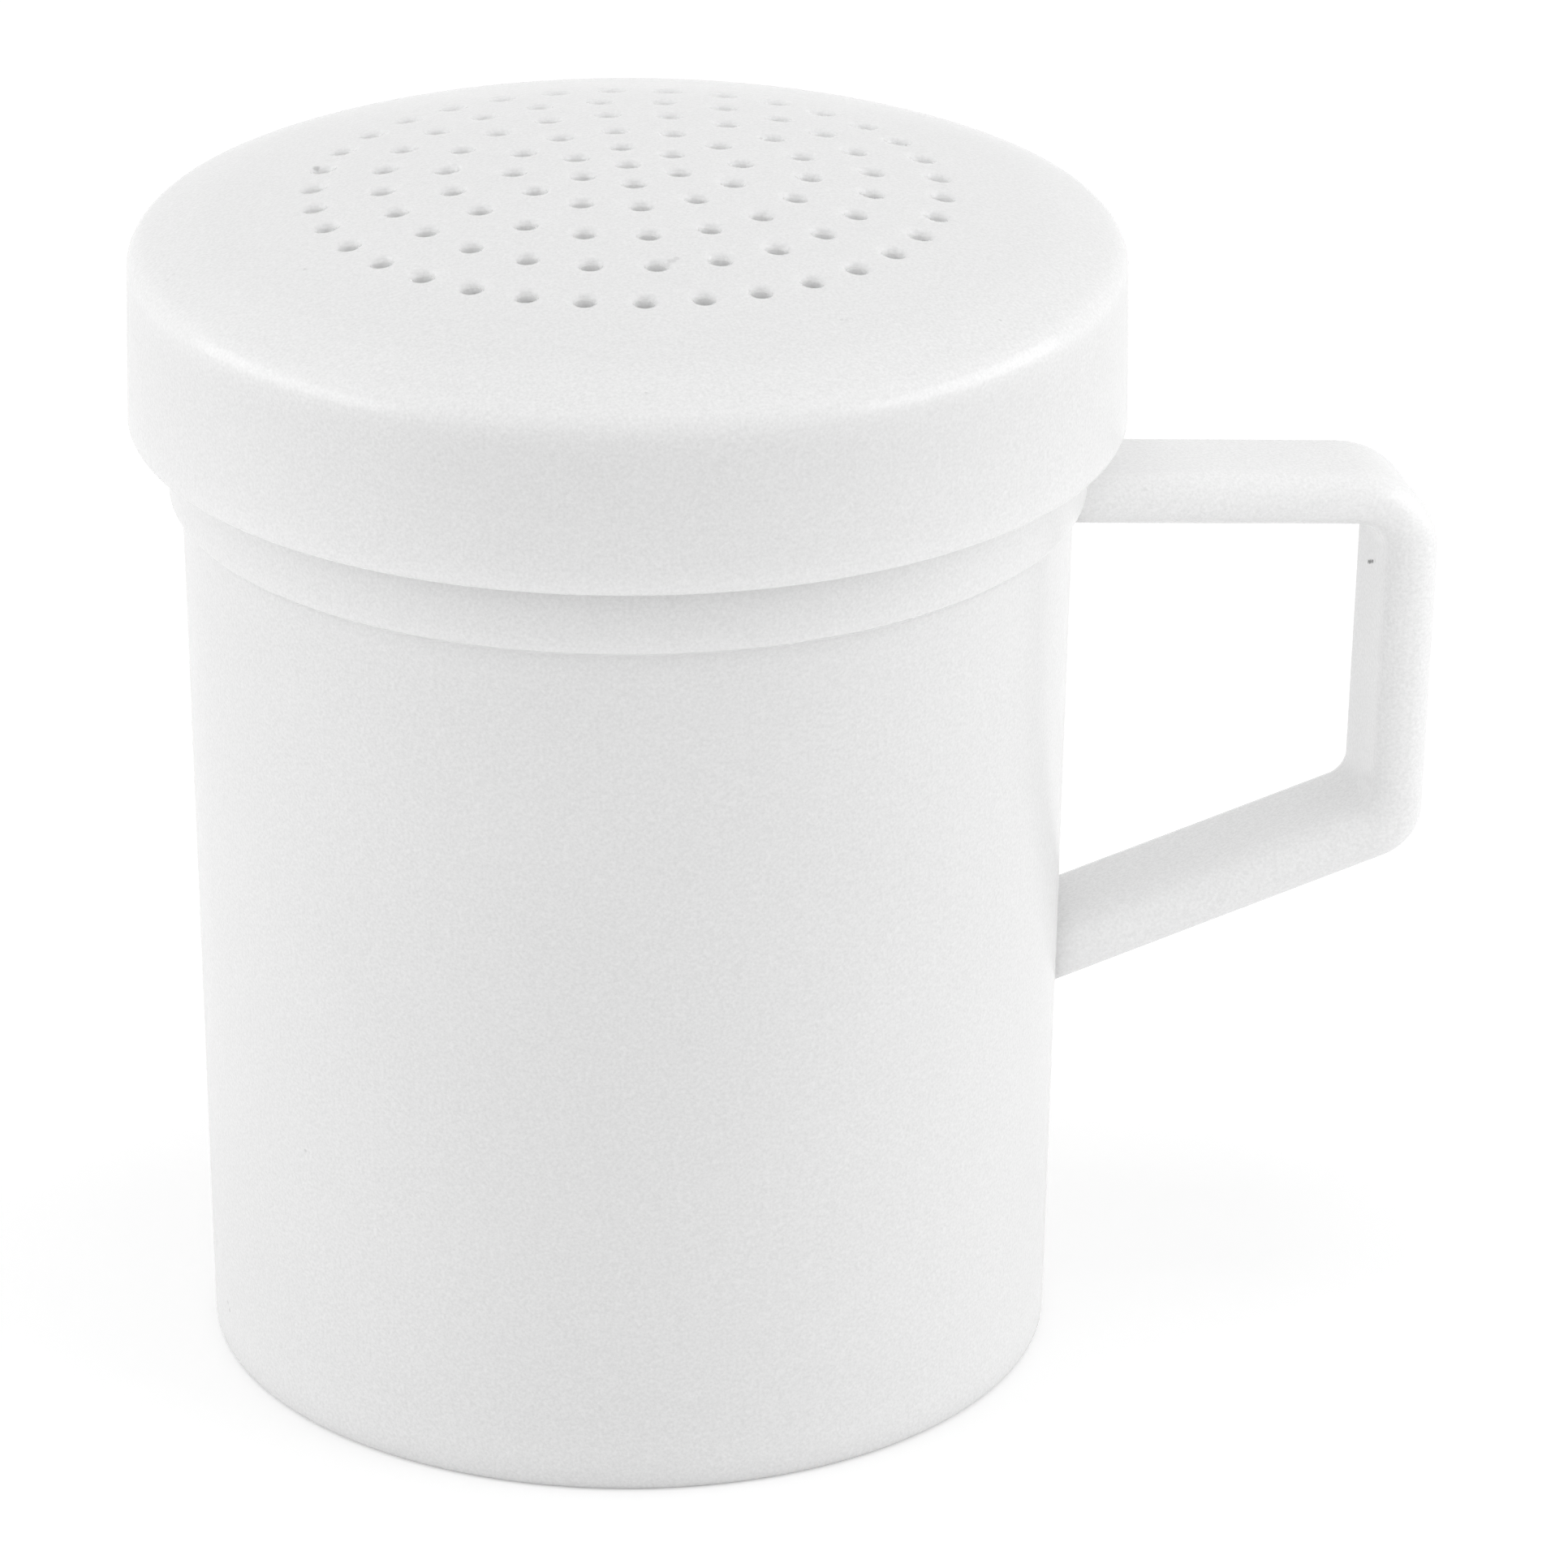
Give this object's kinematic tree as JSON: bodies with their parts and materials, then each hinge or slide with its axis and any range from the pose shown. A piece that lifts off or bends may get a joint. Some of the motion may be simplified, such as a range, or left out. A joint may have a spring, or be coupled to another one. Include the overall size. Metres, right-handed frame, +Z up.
{
  "type": "handled dredge shaker",
  "caption": "White plastic dredge shaker: a straight cup with a moulded strap handle, closed by a domed, perforated push-on lid with a plain skirt that lifts off.",
  "frame": {"origin": "centre of the flat base, on the surface that the shaker stands on", "axes": "+Z up along the cup's axis, +X from the axis towards the handle, +Y across"},
  "size_m": [0.1044, 0.078, 0.0978],
  "materials": {
    "cup_white": "satin white polypropylene with a fine moulded grain",
    "handle_white": "satin white polypropylene, the same moulding as the cup",
    "lid_white": "satin white polypropylene"
  },
  "bodies": {
    "cup": {"cup_body": "cup_white", "strap_handle": "handle_white"},
    "lid": {"perforated_lid": "lid_white"}
  },
  "joints": [
    {"name": "lid_lift", "type": "slide", "parent": "cup", "child": "lid", "axis": [0, 0, 1], "range_m": [0, 0.03]}
  ]
}
